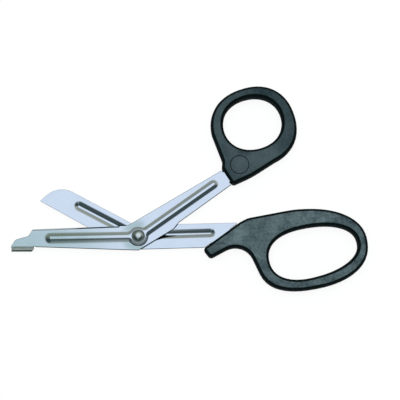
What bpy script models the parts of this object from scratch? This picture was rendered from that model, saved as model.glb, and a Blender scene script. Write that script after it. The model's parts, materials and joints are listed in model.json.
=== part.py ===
"""Bandage-cutting scissors: two pressed steel blades on one rivet, each with a moulded handle.

The pivot axis is +Z through the origin, and z = 0 is the rivet's flat tail end. The jaws point to -X and
the handles to +X. The front half, which turns on the rivet, is the lower jaw with the foot and the small
thumb ring. The back half is the upper jaw with the long finger ring. They are drawn half open.
"""

import math

import bmesh
import bpy
from mathutils import Matrix, Vector
from mathutils.geometry import delaunay_2d_cdt

MM = 0.001

# Clearances
BLADE_GAP = 0.2 * MM
RUNNING_GAP = 0.08 * MM
SEAT_GAP = 0.1 * MM
MOULD_GAP = 0.3 * MM

# Rivet
RIVET_SHANK = 2.0 * MM
RIVET_HEAD = 3.5 * MM
RIVET_DOME = 1.7 * MM
RIVET_RIM = 0.5 * MM
RIVET_TAIL = 3.0 * MM
RIVET_TAIL_HEIGHT = 0.9 * MM
RIVET_CHAMFER = 0.3 * MM

# Pressed sheet, the same for both blades: the ribs and the boss round the rivet stand proud of it
SHEET = 1.6 * MM
EMBOSS = 0.9 * MM
EMBOSS_CURVE = 1.8
FRONT_CREST = 0.45 * MM
BACK_CREST = 0.85 * MM
BOSS_MARGIN = 0.3 * MM
BOSS_CREST = RIVET_HEAD + BOSS_MARGIN
BOSS_SLOPE = 1.8 * MM
BOSS_FOOT = BOSS_CREST + BOSS_SLOPE
BOSS_LAND = 0.7 * MM
EMBOSS_BLEND = 1.6 * MM

# Ground cutting edges
GRIND_WIDTH = 0.9 * MM
GRIND_LAND = 0.4 * MM
GRIND_RUNOUT = 2.0 * MM
GRIND_BAR = (6.0 * MM, 3.0 * MM)

# Front blade: edges as lines, each an angle in degrees and a distance to the left of the pivot. A rib is
# an angle, a reach, a distance to its left, and half its width at the foot
FRONT_EDGE = (2.2, 6.0 * MM)
FRONT_SHANK_TOP = (30.9, 7.85 * MM)
FRONT_SHANK_LOW = (31.5, -(BOSS_FOOT + BOSS_LAND))
FRONT_SHANK_WAIST = (36.1, -6.5 * MM)
FRONT_WAIST_START = 18.6 * MM
FRONT_WAIST_ANGLE = 52.0
FRONT_JAW_LOW = (-1.9, -7.35 * MM)
FRONT_JAW_REACH = 55.8 * MM
FRONT_JAW_RIB = (181.1, 46.0 * MM, 0.0, 3.8 * MM)
FRONT_SHANK_RIB = (35.5, 48.4 * MM, -0.3 * MM, 3.1 * MM)
FRONT_CROTCH_ROUND = 6.0 * MM
FRONT_HEEL_ROUND = 1.5 * MM
FRONT_WAIST_ROUND = 2.0 * MM
FRONT_GRIND_START = 10.0 * MM

# The blunt nose of the front blade, from its tip, and the foot folded under it
NOSE_STEP = (2.2 * MM, 3.7 * MM)
NOSE_TIP = (8.9 * MM, 5.6 * MM)
NOSE_CORNER_ROUND = 0.5 * MM
NOSE_STEP_ROUND = 1.8 * MM
NOSE_TIP_ROUND = 2.6 * MM
FOOT_START = -0.7 * MM
FOOT_LENGTH = 11.1 * MM
FOOT_DROP = 9.0 * MM
FOOT_BEND = 82.0
FOOT_BEND_RADIUS = 1.8 * MM
FOOT_DEPTH = 3.9 * MM
FOOT_FLARE = 0.6 * MM
FOOT_TAPER = 1.5 * MM
FOOT_RELIEF = 1.2 * MM
FOOT_RELIEF_ROUND = 0.8 * MM

# Back blade
BACK_EDGE = (-29.0, -8.6 * MM)
BACK_SPINE = (-28.1, 4.63 * MM)
BACK_JAW_REACH = 52.5 * MM
BACK_TIP_ANGLE = 42.0
BACK_SHANK_TOP = (1.4, 6.3 * MM)
BACK_SHANK_DROP = 0.3 * MM
BACK_SHANK_LOW = (1.6, -(BOSS_FOOT + BOSS_LAND + BACK_SHANK_DROP))
BACK_JAW_RIB = (152.4, 36.0 * MM, 0.25 * MM, 3.6 * MM)
BACK_SHANK_RIB = (1.6, 38.2 * MM, 0.9 * MM, 3.2 * MM)
BACK_HEEL_ROUND = 3.0 * MM
BACK_SPINE_ROUND = 8.0 * MM
BACK_CROWN_ROUND = 12.0 * MM
BACK_TIP_ROUND = 0.3 * MM
BACK_GRIND_START = 8.0 * MM

# Mouths, where a shank enters its handle: distance and angle from the pivot, and the angle it faces
THUMB_MOUTH = (56.6 * MM, 34.4, 32.2)
FINGER_MOUTH = (43.8 * MM, 0.7, -53.8)

# Tangs, the tongues of sheet that the handles are moulded round: angle, width and length
THUMB_TANG = (32.2, 6.4 * MM, 15.0 * MM)
FINGER_TANG = (1.8, 7.0 * MM, 19.0 * MM)
TANG_ROUND = 1.5 * MM
TANG_PIN = 1.5 * MM
TANG_PIN_INSET = 5.5 * MM
SHOULDER_ROUND = 0.4 * MM
POCKET_RUNOUT = 14.0 * MM

# Handles, in the plane from the middle of their mouth: a ring round the hole, then the sleeve's corners,
# each with its radius, on from the ring's last point and back to its first
HANDLE_THICKNESS = 8.5 * MM
HANDLE_EDGE = 1.8 * MM
HANDLE_DRAFT = 0.2 * MM
MOUTH_ROUND = 2.1 * MM
THUMB_HOLE = {
    "centre": Vector((13.85 * MM, 28.95 * MM)),
    "half_length": 15.65 * MM,
    "half_width": 14.05 * MM,
    "tilt": 14.8,
    "squareness": 2.13,
    "taper": 0.0,
}
THUMB_RING = {
    "shift": Vector((0.7 * MM, -1.9 * MM)),
    "end_wall": 7.2 * MM,
    "side_wall": 7.85 * MM,
    "tilt": 18.3,
    "squareness": 2.24,
    "from": -80,
    "to": 175,
}
THUMB_SLEEVE = (5.0 * MM, 5.65 * MM)
THUMB_SLEEVE_WAIST = (Vector((-2.35 * MM, 7.85 * MM)), 5.0 * MM)
THUMB_SLEEVE_BELLY = (Vector((13.3 * MM, -0.1 * MM)), 50.0 * MM)
FINGER_HOLE = {
    "centre": Vector((48.3 * MM, -8.65 * MM)),
    "half_length": 23.6 * MM,
    "half_width": 13.05 * MM,
    "tilt": 12.8,
    "squareness": 2.29,
    "taper": -0.1,
}
FINGER_RING = {
    "shift": Vector((-2.0 * MM, 1.5 * MM)),
    "end_wall": 7.35 * MM,
    "side_wall": 8.4 * MM,
    "tilt": 6.1,
    "squareness": 2.32,
    "from": -127,
    "to": 105,
}
FINGER_SLEEVE = (11.8 * MM, 12.4 * MM)
FINGER_SLEEVE_TOP = (Vector((13.7 * MM, 9.2 * MM)), 10.0 * MM)
FINGER_REST_NOSE = (Vector((-5.95 * MM, -12.6 * MM)), 2.2 * MM)
FINGER_REST = (Vector((11.8 * MM, -2.9 * MM)), 9.9 * MM)
FINGER_REST_HEEL = (Vector((22.5 * MM, -25.6 * MM)), 15.0 * MM)

# The fine ring that the mould's insert leaves in the thumb handle's face
WITNESS_RADIUS = 4.9 * MM
WITNESS_GROOVE = 0.3 * MM
WITNESS_DEPTH = 0.25 * MM
WITNESS_PLACE = Vector((6.8 * MM, 6.1 * MM))

# The mating plane, above the rivet's tail end
MATE = RIVET_TAIL_HEIGHT + SEAT_GAP + EMBOSS + SHEET + BLADE_GAP / 2

# Fineness of round stretches: angles in degrees, and numbers of steps
ARC_STEP = 12.0
RING_STEP = 5.5
DOME_STEP = 10.0
SHARP_ANGLE = 32.0
EMBOSS_LEVELS = 7
BLEND_STEPS = 3
BOSS_STEPS = 8
FOLD_STEPS = 6
HOLE_STEPS = 24
PIVOT_HOLE_STEPS = 32
TURN_STEPS = 40
EDGE_FINENESS = 3


def new_collection(name):
    made = bpy.data.collections.new(name)
    bpy.context.scene.collection.children.link(made)
    return made


def new_material(name, colour, metallic, roughness):
    made = bpy.data.materials.new(name)
    made.use_nodes = True
    shader = made.node_tree.nodes["Principled BSDF"]
    shader.inputs["Base Color"].default_value = (*colour, 1.0)
    shader.inputs["Metallic"].default_value = metallic
    shader.inputs["Roughness"].default_value = roughness
    return made


for old in list(bpy.data.objects):
    bpy.data.objects.remove(old)

parts = new_collection("bandage_scissors")
cutters = new_collection("cutters")


# Plane geometry


def heading(degrees):
    return Vector((math.cos(math.radians(degrees)), math.sin(math.radians(degrees))))


def left_of(direction):
    return Vector((-direction.y, direction.x))


def line_through(point, degrees):
    """A line as (angle, distance to the left of the pivot)."""
    return (degrees, left_of(heading(degrees)).dot(point))


def meet(first, second):
    """The point where two lines cross."""
    a, b = heading(first[0]), heading(second[0])
    p, q = left_of(a) * first[1], left_of(b) * second[1]
    return p + a * ((q - p).cross(b) / a.cross(b))


def arc(centre, radius, start, turn):
    """Points on an arc, angles in degrees, one about every ARC_STEP."""
    steps = max(2, math.ceil(abs(turn) / ARC_STEP))
    return [centre + heading(start + turn * i / steps) * radius for i in range(steps + 1)]


def rounded(corners):
    """A closed outline from (point, radius) corners, with an arc at each corner that has a radius."""
    points = []
    for i, (corner, radius) in enumerate(corners):
        if not radius:
            points.append(corner)
            continue
        back = (corners[i - 1][0] - corner).normalized()
        ahead = (corners[(i + 1) % len(corners)][0] - corner).normalized()
        half = back.angle(ahead) / 2
        centre = corner + (back + ahead).normalized() * (radius / math.sin(half))
        first = corner + back * (radius / math.tan(half)) - centre
        last = corner + ahead * (radius / math.tan(half)) - centre
        turn = -math.degrees(first.angle_signed(last))
        points += arc(centre, radius, math.degrees(math.atan2(first.y, first.x)), turn)
    return points


def drawn_curve(start, corner, end):
    """A curve from start to end that is drawn towards the corner."""
    points = []
    for i in range(BLEND_STEPS + 1):
        t = i / BLEND_STEPS
        points.append(start * (1 - t) ** 2 + corner * (2 * t * (1 - t)) + end * t**2)
    return points


def ring_curve(ring, start, end):
    """Points on a ring outline: a superellipse whose width tapers along its length."""
    points = []
    steps = round(abs(end - start) / RING_STEP)
    for i in range(steps + 1):
        angle = math.radians(start + (end - start) * i / steps)
        power = 2 / ring["squareness"]
        along = math.copysign(abs(math.cos(angle)) ** power, math.cos(angle))
        across = math.copysign(abs(math.sin(angle)) ** power, math.sin(angle))
        across *= 1 + ring["taper"] * along
        place = Vector((along * ring["half_length"], across * ring["half_width"]))
        points.append(ring["centre"] + Matrix.Rotation(math.radians(ring["tilt"]), 2) @ place)
    return points


def circle(centre, radius, steps=HOLE_STEPS):
    return [centre + heading(360 * i / steps) * radius for i in range(steps)]


# Meshes


def add_object(name, mesh, collection, material=None):
    made = bpy.data.objects.new(name, mesh)
    collection.objects.link(made)
    if material:
        mesh.materials.append(material)
    return made


def mesh_of(name, bm):
    mesh = bpy.data.meshes.new(name)
    bm.to_mesh(mesh)
    bm.free()
    mesh.shade_smooth()
    mesh.set_sharp_from_angle(angle=math.radians(SHARP_ANGLE))
    return mesh


def loop_verts(bm, points, z):
    return [bm.verts.new((p.x, p.y, z)) for p in points]


def fill_between(bm, loops):
    """Flat faces inside the first loop of vertices and outside the others."""
    verts = [v for loop in loops for v in loop]
    rings = []
    for loop in loops:
        first = sum(len(ring) for ring in rings)
        rings.append(list(range(first, first + len(loop))))
    flat = [v.co.xy for v in verts]
    _, _, faces, _, _, inside = delaunay_2d_cdt(flat, [], rings, 1, 1e-9, True)
    for face, rings_round_it in zip(faces, inside):
        if list(rings_round_it) == [0]:
            bm.faces.new([verts[i] for i in face])


def emboss_contour(ribs, crest, share):
    """One contour of the raised network, share 0 at its crest and 1 at its foot: out along each rib and
    back, and round the boss between them. The crest is half the width of a rib's flat top."""
    points = []
    boss_radius = BOSS_CREST + BOSS_SLOPE * share
    blend = math.degrees(EMBOSS_BLEND / boss_radius)
    halves, lows, highs = [], [], []
    for angle, _, shift, foot in ribs:
        half = crest + (foot - crest) * share
        halves.append(half)
        lows.append(angle + math.degrees(math.asin((shift - half) / boss_radius)))
        highs.append(angle + math.degrees(math.asin((shift + half) / boss_radius)))
    for i, (angle, reach, shift, _) in enumerate(ribs):
        out = heading(angle)
        low_root, high_root = heading(lows[i]) * boss_radius, heading(highs[i]) * boss_radius
        low_start, high_end = heading(lows[i] - blend), heading(highs[i] + blend)
        points += drawn_curve(low_start * boss_radius, low_root, low_root + out * EMBOSS_BLEND)
        points += arc(out * reach + left_of(out) * shift, halves[i], angle - 90, 180)
        points += drawn_curve(high_root + out * EMBOSS_BLEND, high_root, high_end * boss_radius)
        sweep = (lows[(i + 1) % len(ribs)] - highs[i] - 2 * blend) % 360
        for k in range(1, BOSS_STEPS):
            points.append(heading(highs[i] + blend + sweep * k / BOSS_STEPS) * boss_radius)
    return points


def pressed_sheet(outline, pin_hole, ribs, crest, side):
    """The outer face of a blade, z from the mating plane, with the ribs and boss raised to that side."""
    bm = bmesh.new()
    face = BLADE_GAP / 2 + SHEET
    loops = []
    for i in range(EMBOSS_LEVELS):
        share = i / (EMBOSS_LEVELS - 1)
        rise = EMBOSS * (1 - share) ** EMBOSS_CURVE
        loops.append(loop_verts(bm, emboss_contour(ribs, crest, share), face + rise))
    for upper, lower in zip(loops, loops[1:]):
        for i in range(len(upper)):
            j = (i + 1) % len(upper)
            bm.faces.new((upper[i], lower[i], lower[j], upper[j]))
    pivot_hole = circle(Vector((0, 0)), RIVET_SHANK + RUNNING_GAP, PIVOT_HOLE_STEPS)
    fill_between(bm, [loops[0], loop_verts(bm, pivot_hole, face + EMBOSS)])
    fill_between(bm, [loop_verts(bm, outline, face), loops[-1], loop_verts(bm, pin_hole, face)])
    bmesh.ops.recalc_face_normals(bm, faces=bm.faces)
    if sum(f.normal.z * f.calc_area() for f in bm.faces) < 0:
        bmesh.ops.reverse_faces(bm, faces=bm.faces)
    if side < 0:
        bmesh.ops.scale(bm, vec=(1, 1, -1), verts=bm.verts)
        bmesh.ops.reverse_faces(bm, faces=bm.faces)
    return bm


def fold_foot(bm, start, end):
    """Folds a flange away from the outer face along the outline's edge between two points."""
    edge = min(
        bm.edges,
        key=lambda e: min(
            (e.verts[0].co.xy - start).length + (e.verts[1].co.xy - end).length,
            (e.verts[1].co.xy - start).length + (e.verts[0].co.xy - end).length,
        ),
    )
    along = (end - start).to_3d().normalized()
    centre = start.to_3d()
    centre.z = BLADE_GAP / 2 + SHEET - FOOT_BEND_RADIUS
    made = bmesh.ops.spin(
        bm, geom=[edge, *edge.verts], cent=centre, axis=along, dvec=(0, 0, 0),
        angle=math.radians(FOOT_BEND), steps=FOLD_STEPS, use_duplicate=False,
    )
    rim = [item for item in made["geom_last"] if isinstance(item, bmesh.types.BMEdge)]
    down = Matrix.Rotation(math.radians(FOOT_BEND), 3, along) @ along.cross(Vector((0, 0, 1)))
    grown = bmesh.ops.extrude_edge_only(bm, edges=rim)
    lips = [item for item in grown["geom"] if isinstance(item, bmesh.types.BMVert)]
    middle = (lips[0].co + lips[1].co) / 2
    for lip in lips:
        at_far_end = (middle - lip.co).dot(along) > 0
        lip.co += down * FOOT_DEPTH - along * (FOOT_FLARE if at_far_end else FOOT_TAPER)


def as_cutter(made, half):
    made.hide_render = True
    made.display_type = "WIRE"
    made.parent = half
    return made


def cut(target, cutter):
    modifier = target.modifiers.new(cutter.name, "BOOLEAN")
    modifier.operation = "DIFFERENCE"
    modifier.solver = "EXACT"
    modifier.object = cutter


def grind(target, name, line, start, end, side):
    """Grinds the bevel of a cutting edge on the outer face, from start to end along the line."""
    along = heading(line[0])
    inward = (left_of(along) * math.copysign(1, -line[1])).to_3d()
    slope = Vector((GRIND_WIDTH, SHEET - GRIND_LAND)).normalized()
    up = inward * slope.x + Vector((0, 0, side * slope.y))
    away = inward * -slope.y + Vector((0, 0, side * slope.x))
    height, depth = GRIND_BAR
    base = (along * ((start + end) / 2) + left_of(along) * line[1]).to_3d()
    base.z = side * (BLADE_GAP / 2 + GRIND_LAND)
    turn = Matrix((up.cross(away), up, away)).transposed().to_4x4()
    size = Matrix.Diagonal((abs(end - start), height, depth, 1))
    bm = bmesh.new()
    place = Matrix.Translation(base + away * (depth / 2) + up * (height / 4)) @ turn @ size
    bmesh.ops.create_cube(bm, size=1.0, matrix=place)
    cut(target, as_cutter(add_object(name, mesh_of(name, bm), cutters), target.parent))


def flat_solid(name, loops, thickness, edge, draft, collection, material=None):
    """A plate centred on z = 0 from closed outlines, the later ones holes, with rounded edges and with
    walls that lean in by the draft on both sides of a parting line."""
    curve = bpy.data.curves.new(name, "CURVE")
    curve.dimensions = "2D"
    curve.fill_mode = "BOTH"
    curve.extrude = thickness / 2 - edge
    curve.bevel_depth = edge
    curve.bevel_resolution = EDGE_FINENESS
    curve.offset = -edge - draft
    for loop in loops:
        spline = curve.splines.new("POLY")
        spline.points.add(len(loop) - 1)
        for point, place in zip(spline.points, loop):
            point.co = (place.x, place.y, 0, 1)
        spline.use_cyclic_u = True
    drawn = bpy.data.objects.new(name + "_outline", curve)
    collection.objects.link(drawn)
    bpy.context.view_layer.update()
    evaluated = drawn.evaluated_get(bpy.context.evaluated_depsgraph_get())
    mesh = bpy.data.meshes.new_from_object(evaluated)
    bpy.data.objects.remove(drawn)
    bm = bmesh.new()
    bm.from_mesh(mesh)
    bpy.data.meshes.remove(mesh)
    bmesh.ops.remove_doubles(bm, verts=bm.verts, dist=0.005 * MM)
    bmesh.ops.recalc_face_normals(bm, faces=bm.faces)
    if draft:
        geometry = [*bm.verts, *bm.edges, *bm.faces]
        split = bmesh.ops.bisect_plane(bm, geom=geometry, plane_co=(0, 0, 0), plane_no=(0, 0, 1))
        parting = [item for item in split["geom_cut"] if isinstance(item, bmesh.types.BMVert)]
        bm.normal_update()
        moves = [(vert, vert.normal * draft * vert.calc_shell_factor()) for vert in parting]
        for vert, move in moves:
            vert.co += move
    return add_object(name, mesh_of(name, bm), collection, material)


def turned(name, profile, collection, material=None):
    """A solid of revolution about Z from an (r, z) profile that runs down its outer side."""
    bm = bmesh.new()
    verts = [bm.verts.new((r, 0, z)) for r, z in profile]
    for a, b in zip(verts, verts[1:]):
        bm.edges.new((a, b))
    made = add_object(name, mesh_of(name, bm), collection, material)
    screw = made.modifiers.new("turn", "SCREW")
    screw.steps = TURN_STEPS
    screw.render_steps = TURN_STEPS
    screw.use_merge_vertices = True
    screw.merge_threshold = 0.01 * MM
    screw.use_smooth_shade = True
    return made


# Blades


def mouth_centre(mouth):
    return heading(mouth[1]) * mouth[0]


def pin_place(tang):
    """The moulded pin through a tang, from the middle of the mouth."""
    return heading(tang[0]) * (tang[2] - TANG_PIN_INSET)


def shank_end(mouth, tang, top, low):
    """The corners from the lower edge of a shank, round its tang, to its upper edge."""
    middle = mouth_centre(mouth)
    angle, width, length = tang
    shoulder = line_through(middle - heading(mouth[2]) * MOULD_GAP, mouth[2] + 90)
    end = line_through(middle + heading(angle) * length, angle + 90)
    low_side = line_through(middle - left_of(heading(angle)) * (width / 2), angle)
    top_side = line_through(middle + left_of(heading(angle)) * (width / 2), angle)
    return [
        (meet(low, shoulder), SHOULDER_ROUND),
        (meet(shoulder, low_side), 0),
        (meet(low_side, end), TANG_ROUND),
        (meet(end, top_side), TANG_ROUND),
        (meet(shoulder, top_side), 0),
        (meet(top, shoulder), SHOULDER_ROUND),
    ]


def blade(name, outline, mouth, tang, ribs, crest, side, half, fold=None):
    """One blade: the pressed face, thickened inwards to the mating plane."""
    pin_hole = circle(mouth_centre(mouth) + pin_place(tang), TANG_PIN + MOULD_GAP)
    bm = pressed_sheet(outline, pin_hole, ribs, crest, side)
    if fold:
        fold_foot(bm, *fold)
    made = add_object(name, mesh_of(name, bm), parts, steel)
    made.parent = half
    solidify = made.modifiers.new("sheet", "SOLIDIFY")
    solidify.thickness = SHEET
    solidify.offset = -1
    solidify.use_even_offset = True
    solidify.use_quality_normals = True
    return made


def front_blade(half):
    """The lower jaw, its blunt nose with the folded foot, and the shank up to the thumb ring."""
    tip = meet(FRONT_EDGE, (90, FRONT_JAW_REACH))
    foot_far = tip + Vector((-FOOT_LENGTH, -FOOT_DROP))
    foot_near = tip + Vector((-FOOT_START, -FOOT_DROP))
    waist = meet(FRONT_SHANK_LOW, (90, -FRONT_WAIST_START))
    corners = [
        (meet(FRONT_JAW_LOW, FRONT_SHANK_LOW), FRONT_HEEL_ROUND),
        (waist, FRONT_WAIST_ROUND),
        (meet(line_through(waist, FRONT_WAIST_ANGLE), FRONT_SHANK_WAIST), FRONT_WAIST_ROUND),
        *shank_end(THUMB_MOUTH, THUMB_TANG, FRONT_SHANK_TOP, FRONT_SHANK_WAIST),
        (meet(FRONT_EDGE, FRONT_SHANK_TOP), FRONT_CROTCH_ROUND),
        (tip, NOSE_CORNER_ROUND),
        (tip - Vector(NOSE_STEP), NOSE_STEP_ROUND),
        (tip - Vector(NOSE_TIP), NOSE_TIP_ROUND),
        (foot_far, 0),
        (foot_near, 0),
        (meet(FRONT_JAW_LOW, (90, -foot_near.x - FOOT_RELIEF)), FOOT_RELIEF_ROUND),
    ]
    ribs = [FRONT_SHANK_RIB, FRONT_JAW_RIB]
    fold = (foot_far, foot_near)
    made = blade(
        "front_blade", rounded(corners), THUMB_MOUTH, THUMB_TANG, ribs, FRONT_CREST, 1, half, fold
    )
    grind(made, "front_grind", FRONT_EDGE, -FRONT_JAW_REACH - GRIND_RUNOUT, -FRONT_GRIND_START, 1)


def back_blade(half):
    """The upper jaw with its round tip, and the shank to the finger ring."""
    tip = meet(BACK_EDGE, (90, BACK_JAW_REACH))
    corners = [
        (meet(BACK_EDGE, BACK_SHANK_LOW), BACK_HEEL_ROUND),
        *shank_end(FINGER_MOUTH, FINGER_TANG, BACK_SHANK_TOP, BACK_SHANK_LOW),
        (meet(BACK_SPINE, BACK_SHANK_TOP), BACK_SPINE_ROUND),
        (meet(line_through(tip, BACK_TIP_ANGLE), BACK_SPINE), BACK_CROWN_ROUND),
        (tip, BACK_TIP_ROUND),
    ]
    ribs = [BACK_SHANK_RIB, BACK_JAW_RIB]
    made = blade(
        "back_blade", rounded(corners), FINGER_MOUTH, FINGER_TANG, ribs, BACK_CREST, -1, half
    )
    reach = -heading(BACK_EDGE[0]).dot(tip)
    grind(made, "back_grind", BACK_EDGE, -reach - GRIND_RUNOUT, -BACK_GRIND_START, -1)


# Handles


def handle_outline(hole, ring, mouth, sleeve, before, after):
    """A handle's outer line: the ring round its hole, then the sleeve, whose mouth has two round corners."""
    outer = {
        "centre": hole["centre"] + ring["shift"],
        "half_length": hole["half_length"] + ring["end_wall"],
        "half_width": hole["half_width"] + ring["side_wall"],
        "tilt": ring["tilt"],
        "squareness": ring["squareness"],
        "taper": hole["taper"],
    }
    across = heading(mouth[2] + 90)
    corners = [(point, 0) for point in ring_curve(outer, ring["from"], ring["to"])]
    corners += before
    corners += [(across * sleeve[0], MOUTH_ROUND), (across * -sleeve[1], MOUTH_ROUND)]
    corners += after
    return rounded(corners)


def tang_pocket(handle, tang, side):
    """The room for a tang, open at the mouth, with the moulded pin left standing in it."""
    angle, width, length = tang
    out = heading(angle)
    half_width = left_of(out) * (width / 2 + MOULD_GAP)
    start, end = out * -POCKET_RUNOUT, out * (length + MOULD_GAP)
    corners = [
        (start - half_width, 0),
        (end - half_width, TANG_ROUND),
        (end + half_width, TANG_ROUND),
        (start + half_width, 0),
    ]
    loops = [rounded(corners), circle(pin_place(tang), TANG_PIN)]
    pocket = flat_solid(handle.name + "_pocket", loops, SHEET + 2 * MOULD_GAP, 0, 0, cutters)
    pocket.location = handle.location
    pocket.location.z = side * (BLADE_GAP + SHEET) / 2
    cut(handle, as_cutter(pocket, handle.parent))


def moulded(name, outline, hole, mouth, tang, side, half):
    loops = [outline, ring_curve(hole, 0, 360)[:-1]]
    made = flat_solid(name, loops, HANDLE_THICKNESS, HANDLE_EDGE, HANDLE_DRAFT, parts, plastic)
    made.parent = half
    made.location = mouth_centre(mouth).to_3d()
    tang_pocket(made, tang, side)
    return made


def thumb_handle(half):
    outline = handle_outline(
        THUMB_HOLE, THUMB_RING, THUMB_MOUTH, THUMB_SLEEVE, before=[THUMB_SLEEVE_WAIST],
        after=[THUMB_SLEEVE_BELLY]
    )
    made = moulded("thumb_handle", outline, THUMB_HOLE, THUMB_MOUTH, THUMB_TANG, 1, half)
    witness_circle(made)


def finger_handle(half):
    rest = [FINGER_REST_NOSE, FINGER_REST, FINGER_REST_HEEL]
    outline = handle_outline(
        FINGER_HOLE, FINGER_RING, FINGER_MOUTH, FINGER_SLEEVE, before=[FINGER_SLEEVE_TOP], after=rest
    )
    moulded("finger_handle", outline, FINGER_HOLE, FINGER_MOUTH, FINGER_TANG, -1, half)


def witness_circle(handle):
    low, high = HANDLE_THICKNESS / 2 - WITNESS_DEPTH, HANDLE_THICKNESS / 2 + WITNESS_DEPTH
    outer, inner = WITNESS_RADIUS + WITNESS_GROOVE / 2, WITNESS_RADIUS - WITNESS_GROOVE / 2
    profile = [(inner, high), (outer, high), (outer, low), (inner, low), (inner, high)]
    groove = turned("witness_groove", profile, cutters)
    groove.location = handle.location + WITNESS_PLACE.to_3d()
    cut(handle, as_cutter(groove, handle.parent))


# Rivet


def pivot_rivet(half):
    """A dome-headed rivet with a flat tail, its z from the tail's end."""
    seat = MATE + BLADE_GAP / 2 + SHEET + EMBOSS + SEAT_GAP
    dome = []
    for i in range(round(90 / DOME_STEP) + 1):
        angle = math.radians(DOME_STEP * i)
        dome.append((RIVET_HEAD * math.sin(angle), seat + RIVET_RIM + RIVET_DOME * math.cos(angle)))
    profile = dome + [
        (RIVET_HEAD, seat),
        (RIVET_SHANK, seat),
        (RIVET_SHANK, RIVET_TAIL_HEIGHT),
        (RIVET_TAIL, RIVET_TAIL_HEIGHT),
        (RIVET_TAIL, RIVET_CHAMFER),
        (RIVET_TAIL - RIVET_CHAMFER, 0),
        (0, 0),
    ]
    made = turned("pivot_rivet", profile, parts, polished)
    made.parent = half
    made.location.z = -MATE


def half_empty(name):
    """The empty that carries one half, on the pivot axis at the mating plane."""
    made = bpy.data.objects.new(name, None)
    made.location.z = MATE
    parts.objects.link(made)
    return made


steel = new_material("blade_steel", (0.62, 0.66, 0.70), 1.0, 0.32)
polished = new_material("rivet_steel", (0.66, 0.68, 0.70), 1.0, 0.15)
plastic = new_material("handle_plastic", (0.03, 0.035, 0.04), 0.0, 0.45)

front_half = half_empty("front_half")
front_blade(front_half)
thumb_handle(front_half)

back_half = half_empty("back_half")
back_blade(back_half)
finger_handle(back_half)
pivot_rivet(back_half)
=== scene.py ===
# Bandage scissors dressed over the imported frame: pressed steel blades, rivet, moulded handles
import json
import math

import bpy
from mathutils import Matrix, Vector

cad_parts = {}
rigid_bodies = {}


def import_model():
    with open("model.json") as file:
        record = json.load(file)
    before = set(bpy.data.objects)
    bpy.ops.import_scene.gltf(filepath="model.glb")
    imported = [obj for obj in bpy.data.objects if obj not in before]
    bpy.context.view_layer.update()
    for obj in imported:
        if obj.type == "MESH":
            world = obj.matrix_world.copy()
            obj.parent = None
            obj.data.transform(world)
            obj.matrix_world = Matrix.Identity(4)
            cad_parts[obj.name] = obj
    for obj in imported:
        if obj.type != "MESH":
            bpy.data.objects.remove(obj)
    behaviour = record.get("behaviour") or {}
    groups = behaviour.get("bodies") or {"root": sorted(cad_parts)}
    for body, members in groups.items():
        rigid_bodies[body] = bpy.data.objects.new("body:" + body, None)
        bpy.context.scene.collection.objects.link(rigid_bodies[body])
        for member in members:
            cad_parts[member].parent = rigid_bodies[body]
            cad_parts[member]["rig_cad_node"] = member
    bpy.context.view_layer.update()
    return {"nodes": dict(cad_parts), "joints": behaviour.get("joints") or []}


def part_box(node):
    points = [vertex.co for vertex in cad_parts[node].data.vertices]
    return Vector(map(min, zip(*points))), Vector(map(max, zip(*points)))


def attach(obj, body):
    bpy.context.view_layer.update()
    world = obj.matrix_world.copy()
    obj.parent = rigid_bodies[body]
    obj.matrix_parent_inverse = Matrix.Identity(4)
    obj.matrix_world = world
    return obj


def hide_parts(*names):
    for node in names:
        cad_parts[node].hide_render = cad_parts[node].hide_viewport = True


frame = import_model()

mm = 0.001
pivot = tuple(frame["joints"][0]["pos_m"])


# Node helpers

def newMaterial(name):
    material = bpy.data.materials.new(name)
    material.use_nodes = True
    tree = material.node_tree
    return material, tree, tree.nodes["Principled BSDF"]


def feed(tree, socket, value):
    if isinstance(value, bpy.types.NodeSocket):
        tree.links.new(value, socket)
    else:
        socket.default_value = value


def addNode(tree, kind, inputs=None, **settings):
    node = tree.nodes.new(kind)
    for key, value in settings.items():
        setattr(node, key, value)
    for key, value in (inputs or {}).items():
        feed(tree, node.inputs[key], value)
    return node


def maths(tree, operation, first, second=0.0, clamp=False):
    node = addNode(tree, "ShaderNodeMath", {0: first, 1: second}, operation=operation,
                   use_clamp=clamp)
    return node.outputs[0]


def product(tree, first, *others):
    result = first
    for other in others:
        result = maths(tree, "MULTIPLY", result, other)
    return result


def remap(tree, value, low, high, toLow=0.0, toHigh=1.0):
    node = addNode(tree, "ShaderNodeMapRange", {"Value": value, "From Min": low, "From Max": high,
                                                "To Min": toLow, "To Max": toHigh},
                   interpolation_type="SMOOTHSTEP")
    return node.outputs["Result"]


def mixColour(tree, factor, first, second, blendType="MIX"):
    node = addNode(tree, "ShaderNodeMix", {"Factor": factor}, data_type="RGBA",
                   blend_type=blendType)
    for socket, value in ((node.inputs[6], first), (node.inputs[7], second)):
        feed(tree, socket, (*value, 1.0) if isinstance(value, tuple) else value)
    return node.outputs[2]


def mixValue(tree, factor, first, second):
    node = addNode(tree, "ShaderNodeMix", {"Factor": factor, 2: first, 3: second})
    return node.outputs[0]


def noise(tree, coordinates, scale, detail, roughness):
    node = addNode(tree, "ShaderNodeTexNoise", {"Vector": coordinates, "Scale": scale,
                                                "Detail": detail, "Roughness": roughness})
    return node.outputs["Fac"]


def objectPlace(tree):
    return addNode(tree, "ShaderNodeTexCoord").outputs["Object"]


def axes(tree, vector):
    return addNode(tree, "ShaderNodeSeparateXYZ", {0: vector}).outputs


def flatDistance(tree, place, x, y):
    flat = addNode(tree, "ShaderNodeVectorMath", {0: place, 1: (1, 1, 0)}, operation="MULTIPLY")
    away = addNode(tree, "ShaderNodeVectorMath", {0: flat.outputs[0], 1: (x, y, 0)},
                   operation="DISTANCE")
    return away.outputs["Value"]


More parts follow.
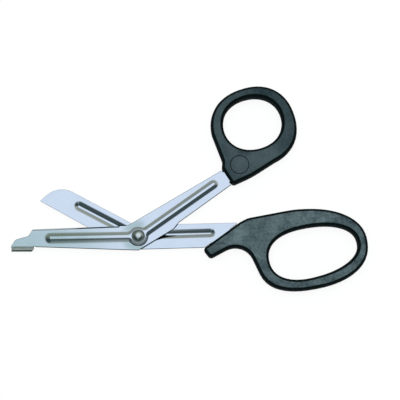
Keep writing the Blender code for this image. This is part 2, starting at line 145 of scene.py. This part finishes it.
def addBump(tree, shader, height, strength, distance):
    bump = addNode(tree, "ShaderNodeBump", {"Strength": strength, "Distance": distance,
                                            "Height": height})
    tree.links.new(bump.outputs[0], shader.inputs["Normal"])


# Studio: a pale floor, a light tent that the camera doesn't see, and the photograph's camera.
# Places in the tent are shares of its radius, and its panel's angles are degrees.

studio = {
    "floorHeight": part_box("finger_handle")[0].z,
    "floorSize": 8.0,
    "floorWhite": 0.98,
    "floorGlow": 0.85,                       # how much of the floor's white is its own
    "glowStrength": 1.05,
    "worldStrength": 1.0,
    "tentRadius": 1.8,
    "tentSegments": 64,
    "tentRings": 32,
    "panelTilt": 12.0,                       # flat steel mirrors this overhead panel
    "panelInner": 17.0,
    "panelOuter": 27.0,
    "panelColour": (1.18, 1.28, 1.43),
    "nearWall": (0.075, 0.105, 0.11),        # on the image's lower side
    "cardHigh": (0.62, 0.68, 0.66),          # a card that hangs there below the panel
    "cardLow": (0.38, 0.43, 0.42),
    "cardTone": (0.88, 0.97),                # heights of its low and high tones
    "cardEdge": (0.86, 0.83),                # heights where it fades into the wall
    "cardCentre": -0.09,
    "cardSide": (0.06, 0.13),                # where it fades, from its centre
    "farLeft": (0.42, 0.445, 0.355),
    "farRight": (0.62, 0.63, 0.52),
    "farAcross": (-0.3, 0.5),                # from the left tone to the right, in X
    "farFrom": (-0.05, 0.35),                # from the near wall to the far one, in Y
    "horizonGlow": (0.40, 0.44, 0.43),
    "horizon": (0.70, 0.50),                 # heights between which it fades in downwards
    "fillPower": 7.0,
    "fillSize": 1.5,
    "fillHeight": 1.2,
}

lens = {
    "place": (32.49 * mm, -97.36 * mm, 667.72 * mm),
    "elevation": 80.0,
    "focal": 114.3,
    "sensor": 36.0,
    "near": 0.01,
    "far": 20.0,
}


def addFloor():
    bpy.ops.mesh.primitive_plane_add(size=studio["floorSize"],
                                     location=(0, 0, studio["floorHeight"]))
    floor = bpy.context.active_object
    floor.name = "studio_floor"
    material, tree, shader = newMaterial("studio_floor")
    tree.nodes.remove(shader)
    white = studio["floorWhite"]
    paint = addNode(tree, "ShaderNodeBsdfDiffuse", {"Color": (white, white, white, 1)})
    glow = addNode(tree, "ShaderNodeEmission", {"Color": (1, 1, 1, 1),
                                                "Strength": studio["glowStrength"]})
    path = addNode(tree, "ShaderNodeLightPath")
    seen = maths(tree, "ADD", path.outputs["Is Camera Ray"], path.outputs["Is Glossy Ray"])
    seen = maths(tree, "ADD", seen, path.outputs["Is Transmission Ray"], clamp=True)
    share = maths(tree, "MULTIPLY", seen, studio["floorGlow"])
    both = addNode(tree, "ShaderNodeMixShader", {0: share, 1: paint.outputs[0],
                                                 2: glow.outputs[0]})
    tree.links.new(both.outputs[0], tree.nodes["Material Output"].inputs["Surface"])
    floor.data.materials.append(material)


def tentColour(tree):
    unit = addNode(tree, "ShaderNodeVectorMath", {0: objectPlace(tree)},
                   operation="NORMALIZE").outputs[0]
    x, y, z = axes(tree, unit)
    farWall = mixColour(tree, remap(tree, x, *studio["farAcross"]), studio["farLeft"],
                        studio["farRight"])
    card = mixColour(tree, remap(tree, z, *studio["cardTone"]), studio["cardLow"],
                     studio["cardHigh"])
    fromCard = maths(tree, "ABSOLUTE", maths(tree, "SUBTRACT", x, studio["cardCentre"]))
    besideCard = maths(tree, "MAXIMUM", remap(tree, fromCard, *studio["cardSide"]),
                       remap(tree, z, *studio["cardEdge"]))
    nearWall = mixColour(tree, besideCard, card, studio["nearWall"])
    walls = mixColour(tree, remap(tree, y, *studio["farFrom"]), nearWall, farWall)
    walls = mixColour(tree, remap(tree, z, *studio["horizon"]), walls, studio["horizonGlow"])
    tilt = math.radians(studio["panelTilt"])
    towards = addNode(tree, "ShaderNodeVectorMath", {0: unit, 1: (0, math.sin(tilt),
                                                                  math.cos(tilt))},
                      operation="DOT_PRODUCT").outputs["Value"]
    panel = remap(tree, towards, math.cos(math.radians(studio["panelOuter"])),
                  math.cos(math.radians(studio["panelInner"])))
    return mixColour(tree, panel, walls, studio["panelColour"])


def addTent():
    bpy.ops.mesh.primitive_uv_sphere_add(segments=studio["tentSegments"],
                                         ring_count=studio["tentRings"],
                                         radius=studio["tentRadius"])
    tent = bpy.context.active_object
    tent.name = "light_tent"
    bpy.ops.object.shade_smooth()
    material, tree, shader = newMaterial("light_tent")
    tree.nodes.remove(shader)
    glow = addNode(tree, "ShaderNodeEmission", {"Color": tentColour(tree), "Strength": 1.0})
    tree.links.new(glow.outputs[0], tree.nodes["Material Output"].inputs["Surface"])
    tent.data.materials.append(material)
    tent.visible_camera = False
    tent.visible_shadow = False


def addFillLamp():
    bpy.ops.object.light_add(type="AREA", location=(0, 0, studio["fillHeight"]))
    lamp = bpy.context.active_object
    lamp.name = "soft_fill"
    lamp.data.shape = "DISK"
    lamp.data.size = studio["fillSize"]
    lamp.data.energy = studio["fillPower"]
    lamp.visible_glossy = False
    lamp.visible_camera = False


def addWorld():
    world = bpy.data.worlds.new("studio")
    bpy.context.scene.world = world
    world.use_nodes = True
    background = world.node_tree.nodes["Background"]
    background.inputs["Color"].default_value = (1, 1, 1, 1)
    background.inputs["Strength"].default_value = studio["worldStrength"]


def addCamera():
    data = bpy.data.cameras.new("camera")
    data.lens = lens["focal"]
    data.sensor_width = lens["sensor"]
    data.clip_start = lens["near"]
    data.clip_end = lens["far"]
    camera = bpy.data.objects.new("camera", data)
    camera.location = lens["place"]
    camera.rotation_euler = (math.radians(90 - lens["elevation"]), 0, 0)
    bpy.context.scene.collection.objects.link(camera)
    bpy.context.scene.camera = camera
    bpy.context.scene.view_settings.view_transform = "Standard"


addFloor()
addTent()
addFillLamp()
addWorld()
addCamera()
print("studio done")


# Shaping: each piece is its solid's own form, welded, with its sharp edges softened

shaping = {
    "weld": 0.002 * mm,
    "empty": 0.001 * mm,                     # a softened corner's empty faces are dissolved
    "flat": math.radians(0.6),               # faces this close to one plane become one
    "sharp": math.radians(38),
    "smooth": math.radians(50),
    "normalWeight": 80,
}


def dressNode(nodeName, pieceName, body, material, softEdge, weld=shaping["weld"]):
    bpy.ops.object.select_all(action="DESELECT")
    node = frame["nodes"][nodeName]
    node.select_set(True)
    bpy.context.view_layer.objects.active = node
    bpy.ops.object.duplicate()
    piece = bpy.context.active_object
    piece.parent = None
    del piece["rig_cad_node"]
    piece.name = pieceName
    bpy.ops.object.mode_set(mode="EDIT")
    bpy.ops.mesh.select_all(action="SELECT")
    bpy.ops.mesh.remove_doubles(threshold=weld)
    bpy.ops.mesh.dissolve_limited(angle_limit=shaping["flat"])
    bpy.ops.mesh.select_all(action="DESELECT")
    bpy.ops.object.mode_set(mode="OBJECT")
    bevel = piece.modifiers.new("edge", "BEVEL")
    bevel.width = softEdge
    bevel.segments = 1
    bevel.limit_method = "ANGLE"
    bevel.angle_limit = shaping["sharp"]
    bevel.use_clamp_overlap = False
    bpy.ops.object.modifier_apply(modifier=bevel.name)
    bpy.ops.object.mode_set(mode="EDIT")
    bpy.ops.mesh.select_all(action="SELECT")
    bpy.ops.mesh.dissolve_degenerate(threshold=shaping["empty"])
    bpy.ops.mesh.select_all(action="DESELECT")
    bpy.ops.object.mode_set(mode="OBJECT")
    bpy.ops.object.shade_smooth_by_angle(angle=shaping["smooth"])
    weighted = piece.modifiers.new("shading", "WEIGHTED_NORMAL")
    weighted.keep_sharp = True
    weighted.weight = shaping["normalWeight"]
    bpy.ops.object.modifier_apply(modifier=weighted.name)
    piece.data.materials.clear()
    piece.data.materials.append(material)
    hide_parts(nodeName)
    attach(piece, body)
    print(pieceName, len(piece.data.polygons), "faces")
    return piece


# Blades: two pressed sheets of ground steel. A remap reads (from, to) or (from, to, low, high),
# and a noise reads (scale per metre, detail, roughness).

steelLook = {
    "clean": (0.53, 0.575, 0.63),
    "dull": (0.335, 0.43, 0.425),
    "dullClouds": (0.45, 0.85, 0.0, 0.12),
    "edge": (0.045, 0.07, 0.07),             # painted shade on the sheet's sheared rim
    "grazing": (0.3, 0.34, 0.34),            # how little it mirrors along its face
    "roughness": (0.14, 0.2),                # where clean and where dull
    "rimSlope": 0.74,                        # steeper faces are the sheared rim
    "groundSlope": (0.57, 0.63),             # apart from the ground edge, which faces up
    "cloudNoise": (90.0, 3.0, 0.6),
    "grainAlong": 35.0,                      # grinding lines per metre, along and across
    "grainAcross": 2600.0,
    "grainSlant": math.radians(7.0),
    "grainNoise": (1.0, 4.0, 0.6),
    "grainShade": (0.3, 0.7, 0.96, 1.0),
    "grainStrength": 0.05,
    "grainHeight": 0.02 * mm,
}

frontBlade = {
    "softEdge": 0.22 * mm,
    "weld": 0.05 * mm,
    "grainTurn": 0.0,
    "dullAlong": (4.0 * mm, -46.0 * mm),     # from the pivot to the nose
    "dullSide": (6.0 * mm, 1.0 * mm, 0.3, 1.0),     # the jaw's lower half gets darker and rougher, in Y
    "dullCloud": 0.7,                        # shares of the clouds and specks in its patches
    "dullSpeck": 0.5,
    "dullPatch": (0.42, 0.78, 0.72, 1.0),
    "speckNoise": (1500.0, 2.0, 0.6),
    "bossShade": (0.33, 0.415, 0.41),             # painted shade round the boss, where the sheet starts to rise
    "bossShadeOuter": (11.0 * mm, 5.9 * mm),      # distances from the pivot
    "bossShadeInner": (4.9 * mm, 5.8 * mm),
    "bossShadeSide": (1.5 * mm, 4.0 * mm),        # either side of the jaw's middle line
    "bossShadeEnd": (6.0 * mm, 0.0 * mm),         # it stays on the jaw's side of the pivot
    # painted reflection: the foot's bend is painted paler, as if it mirrored brighter
    # surroundings
    "bend": (0.66, 0.70, 0.65),
    "bendRoughness": 0.8,
    "bendFrom": (-4.9 * mm, -6.4 * mm),      # where the foot folds down, in Y
    "bendBeyond": -54.6 * mm,                # and in X
    "lip": (4.6 * mm, 1.9 * mm),             # painted shade on the foot's lower rim, in Z
}

backBlade = {
    "softEdge": 0.12 * mm,
    "weld": 0.1 * mm,
    "grainTurn": math.radians(-28),
}


def grainPlace(tree, place, turn):
    across, slant = 1 / steelLook["grainAcross"], steelLook["grainSlant"]
    drawn = addNode(tree, "ShaderNodeMapping", {"Vector": place, "Location": pivot,
                                                "Rotation": (0, 0, turn),
                                                "Scale": (1 / steelLook["grainAlong"],
                                                          across, across)},
                    vector_type="TEXTURE")
    slanted = addNode(tree, "ShaderNodeMapping", {"Vector": drawn.outputs[0],
                                                  "Rotation": (slant, slant, slant)},
                      vector_type="POINT")
    return slanted.outputs[0]


def noseDarkening(tree, place, cloud):
    x, y = axes(tree, place)[:2]
    speck = noise(tree, place, *frontBlade["speckNoise"])
    nose = product(tree, remap(tree, x, *frontBlade["dullAlong"]),
                   remap(tree, y, *frontBlade["dullSide"]))
    mixed = maths(tree, "ADD", product(tree, cloud, frontBlade["dullCloud"]),
                  product(tree, speck, frontBlade["dullSpeck"]))
    return product(tree, nose, remap(tree, mixed, *frontBlade["dullPatch"]))


# Where the painted shade round the boss goes: a ring about the pivot, either side of the jaw's
# middle line, on the jaw's side
def bossShadeMask(tree, place):
    x, y = axes(tree, place)[:2]
    away = flatDistance(tree, place, 0, 0)
    return product(tree, remap(tree, away, *frontBlade["bossShadeOuter"]),
                   remap(tree, away, *frontBlade["bossShadeInner"]),
                   remap(tree, maths(tree, "ABSOLUTE", y), *frontBlade["bossShadeSide"]),
                   remap(tree, x, *frontBlade["bossShadeEnd"]))


def bladeSteel(name, blade):
    material, tree, shader = newMaterial(name)
    look = steelLook
    place = objectPlace(tree)
    grain = noise(tree, grainPlace(tree, place, blade["grainTurn"]), *look["grainNoise"])
    cloud = noise(tree, place, *look["cloudNoise"])
    dull = remap(tree, cloud, *look["dullClouds"])
    # darker and rougher in speckled patches towards the nose
    if blade is frontBlade:
        dull = maths(tree, "MAXIMUM", dull, noseDarkening(tree, place, cloud))
    tone = mixColour(tree, dull, look["clean"], look["dull"])
    # painted shade round the boss
    if blade is frontBlade:
        tone = mixColour(tree, bossShadeMask(tree, place), tone, frontBlade["bossShade"])
    shade = remap(tree, grain, *look["grainShade"])
    grey = addNode(tree, "ShaderNodeCombineColor", {0: shade, 1: shade, 2: shade}).outputs[0]
    tone = mixColour(tree, 1.0, tone, grey, "MULTIPLY")
    rim = addNode(tree, "ShaderNodeAttribute", attribute_name="rim").outputs["Fac"]
    rough = remap(tree, maths(tree, "MAXIMUM", dull, rim), 0.0, 1.0, *look["roughness"])
    if blade is frontBlade:
        x, y, z = axes(tree, place)
        bend = product(tree, remap(tree, y, *frontBlade["bendFrom"]),
                       maths(tree, "LESS_THAN", x, frontBlade["bendBeyond"]))
        rough = maths(tree, "MAXIMUM", rough, product(tree, bend, frontBlade["bendRoughness"]))
        # painted reflection on the foot's bend
        tone = mixColour(tree, bend, tone, frontBlade["bend"])
        # painted shade along the foot's lower rim
        lip = product(tree, bend, remap(tree, z, *frontBlade["lip"]))
        rim = mixValue(tree, bend, rim, lip)
    # the steep rim faces, and the foot's lower rim, take painted shade; the rim is also rougher
    tree.links.new(mixColour(tree, rim, tone, look["edge"]), shader.inputs["Base Color"])
    tree.links.new(rough, shader.inputs["Roughness"])
    shader.inputs["Metallic"].default_value = 1.0
    shader.inputs["Specular Tint"].default_value = (*look["grazing"], 1.0)
    addBump(tree, shader, grain, look["grainStrength"], look["grainHeight"])
    return material


# Marks the steep sheared-rim faces, apart from the ground edge, for painted shade and a rougher
# finish
def markRim(piece):
    low, high = steelLook["groundSlope"]
    rim = piece.data.attributes.new("rim", "FLOAT", "FACE")
    rim.data.foreach_set("value", [float(abs(face.normal.z) < steelLook["rimSlope"]
                                         and not low < face.normal.z < high)
                                   for face in piece.data.polygons])


frontSteel = bladeSteel("front_blade_steel", frontBlade)
backSteel = bladeSteel("back_blade_steel", backBlade)
markRim(dressNode("front_blade", "lower_jaw_blade", "front_half", frontSteel,
                  frontBlade["softEdge"], frontBlade["weld"]))
markRim(dressNode("back_blade", "upper_jaw_blade", "back_half", backSteel,
                  backBlade["softEdge"], backBlade["weld"]))
print("blades done")


# Rivet: polished steel, a little tarnished, with painted shade darkening its dome towards its rim

rivetLook = {
    "softEdge": 0.1 * mm,
    "colour": (0.50, 0.53, 0.53),
    "tarnish": (0.35, 0.7, 0.0, 0.25),       # how far its clouds go to the blades' dull tone
    # painted shade towards the dome's rim, darker on its left
    "ring": (0.20, 0.245, 0.24),
    "ringFrom": (1.2 * mm, 3.0 * mm),        # distances from a point right of the dome's top
    "ringCentre": 0.5 * mm,
    "roughness": (0.3, 0.7, 0.13, 0.21),
    "cloudNoise": (700.0, 3.0, 0.6),
}


def rivetSteel(name):
    material, tree, shader = newMaterial(name)
    look = rivetLook
    place = objectPlace(tree)
    cloud = noise(tree, place, *look["cloudNoise"])
    tone = mixColour(tree, remap(tree, cloud, *look["tarnish"]), look["colour"],
                     steelLook["dull"])
    away = flatDistance(tree, place, look["ringCentre"], 0)
    # painted shade towards the dome's rim
    tone = mixColour(tree, remap(tree, away, *look["ringFrom"]), tone, look["ring"])
    tree.links.new(tone, shader.inputs["Base Color"])
    tree.links.new(remap(tree, cloud, *look["roughness"]), shader.inputs["Roughness"])
    shader.inputs["Metallic"].default_value = 1.0
    return material


dressNode("pivot_rivet", "domed_rivet", "back_half", rivetSteel("domed_rivet"),
          rivetLook["softEdge"])
print("rivet done")


# Handles: black moulded plastic, with pale dust and painted sheen on its faces, and painted shade
# on its edges and walls

plasticLook = {
    "softEdge": 0.1 * mm,
    "face": (0.011, 0.024, 0.029),           # the handled face, and the same under the dust and sheen
    # pale dust, and the painted sheen of the faces
    "dustAndSheen": (0.154, 0.213, 0.228),
    "wallShade": (0.0015, 0.004, 0.0045),         # painted shade on its edges and walls
    "wallTop": 4.13 * mm,                    # heights from the handle's middle
    "faceStart": 4.21 * mm,
    "specular": 0.2,
    "tint": (0.75, 1.0, 1.08),
    "roughness": (0.3, 0.7, 0.35, 0.48),     # over the clouds, and what the grain adds
    "grainRoughness": 0.05,
    "wallRoughness": 1.0,
    "cloudNoise": (160.0, 5.0, 0.62),
    "cloudRange": (0.35, 0.65),
    "mottleNoise": (620.0, 4.0, 0.7),
    "mottleRange": (0.3, 0.7),
    "crackNoise": (130.0, 3.0, 0.55),
    "crackWidth": 0.012,
    "crackPlaceNoise": (78.0, 2.0, 0.5),
    "crackPlaceRange": (0.5, 0.62),
    "grainNoise": (5200.0, 2.0, 0.5),
    "grainStrength": 0.12,
    "grainHeight": 0.05 * mm,
}

# A patch of dust and painted sheen is ((x, y), radius, amount), in millimetres
thumbDustAndSheen = {
    "base": 0.16,
    "spread": 0.13,                          # how much the clouds of dust and sheen come and go
    "mottle": 0.055,
    # the large lighter patch on the ring's upper left is a painted highlight
    "patches": [((48, 60), 24, 0.16), ((57, 40), 15, 0.19), ((68, 79), 16, -0.13),
                ((56, 47.5), 7, -0.27), ((69, 42.5), 11, 0.21)],
    "cracks": 0.0,
}

fingerDustAndSheen = {
    "base": 0.48,
    "spread": 0.40,
    "mottle": 0.19,
    # the dark patches along the ring's outer-left edge, from (56.5, -9.5) to (65.5, -22.5), are
    # painted shade
    "patches": [((50, 1), 15, 0.19), ((80, 8), 26, 0.11), ((114, 5), 14, -0.13),
                ((37, -9), 9, -0.26), ((56.5, -9.5), 5, -0.5), ((60.5, -17.5), 4, -0.4),
                ((65.5, -22.5), 4, -0.4), ((64, -12), 7, 0.18), ((75, -21), 8, 0.13),
                ((120, -18), 9, -0.15), ((55, 2), 9, 0.15), ((96, 11), 10, 0.10)],
    "cracks": 0.75,
}


def dustAndSheenAmount(tree, place, cloud, handleDustAndSheen):
    spread, mottle = handleDustAndSheen["spread"] / 2, handleDustAndSheen["mottle"]
    fine = noise(tree, place, *plasticLook["mottleNoise"])
    dustAndSheen = maths(tree, "ADD", remap(tree, cloud, *plasticLook["cloudRange"], -spread, spread),
                 handleDustAndSheen["base"])
    dustAndSheen = maths(tree, "ADD", dustAndSheen, remap(tree, fine, *plasticLook["mottleRange"],
                                          -mottle, mottle))
    for (x, y), radius, amount in handleDustAndSheen["patches"]:
        away = flatDistance(tree, place, x * mm, y * mm)
        dustAndSheen = maths(tree, "ADD", dustAndSheen, remap(tree, away, radius * mm, 0.0, 0.0, amount))
    return maths(tree, "ADD", dustAndSheen, 0.0, clamp=True)


def crackLines(tree, place):
    vein = noise(tree, place, *plasticLook["crackNoise"])
    fromVein = maths(tree, "ABSOLUTE", maths(tree, "SUBTRACT", vein, 0.5))
    where = noise(tree, place, *plasticLook["crackPlaceNoise"])
    return product(tree, remap(tree, fromVein, plasticLook["crackWidth"], 0.0),
                   remap(tree, where, *plasticLook["crackPlaceRange"]))


def handlePlastic(name, nodeName, handleDustAndSheen):
    material, tree, shader = newMaterial(name)
    look = plasticLook
    place = objectPlace(tree)
    cloud = noise(tree, place, *look["cloudNoise"])
    grain = noise(tree, place, *look["grainNoise"])
    tone = mixColour(tree, dustAndSheenAmount(tree, place, cloud, handleDustAndSheen), look["face"],
                     look["dustAndSheen"])
    if handleDustAndSheen["cracks"]:
        crack = product(tree, crackLines(tree, place), handleDustAndSheen["cracks"])
        tone = mixColour(tree, crack, tone, look["face"])
    low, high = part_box(nodeName)
    fromMiddle = maths(tree, "SUBTRACT", axes(tree, place)["Z"], (low.z + high.z) / 2)
    height = maths(tree, "ABSOLUTE", fromMiddle)
    # painted shade: below faceStart the edges and walls take the dark wall colour, above it the
    # faces take the dust and sheen
    face = remap(tree, height, look["wallTop"], look["faceStart"])
    rough = maths(tree, "ADD", remap(tree, cloud, *look["roughness"]),
                  product(tree, grain, look["grainRoughness"]))
    tree.links.new(mixColour(tree, face, look["wallShade"], tone), shader.inputs["Base Color"])
    tree.links.new(mixValue(tree, face, look["wallRoughness"], rough),
                   shader.inputs["Roughness"])
    shader.inputs["Specular IOR Level"].default_value = look["specular"]
    shader.inputs["Specular Tint"].default_value = (*look["tint"], 1.0)
    addBump(tree, shader, grain, look["grainStrength"], look["grainHeight"])
    return material


dressNode("thumb_handle", "thumb_ring_handle", "front_half",
          handlePlastic("thumb_plastic", "thumb_handle", thumbDustAndSheen), plasticLook["softEdge"])
dressNode("finger_handle", "finger_ring_handle", "back_half",
          handlePlastic("finger_plastic", "finger_handle", fingerDustAndSheen), plasticLook["softEdge"])
print("handles done")
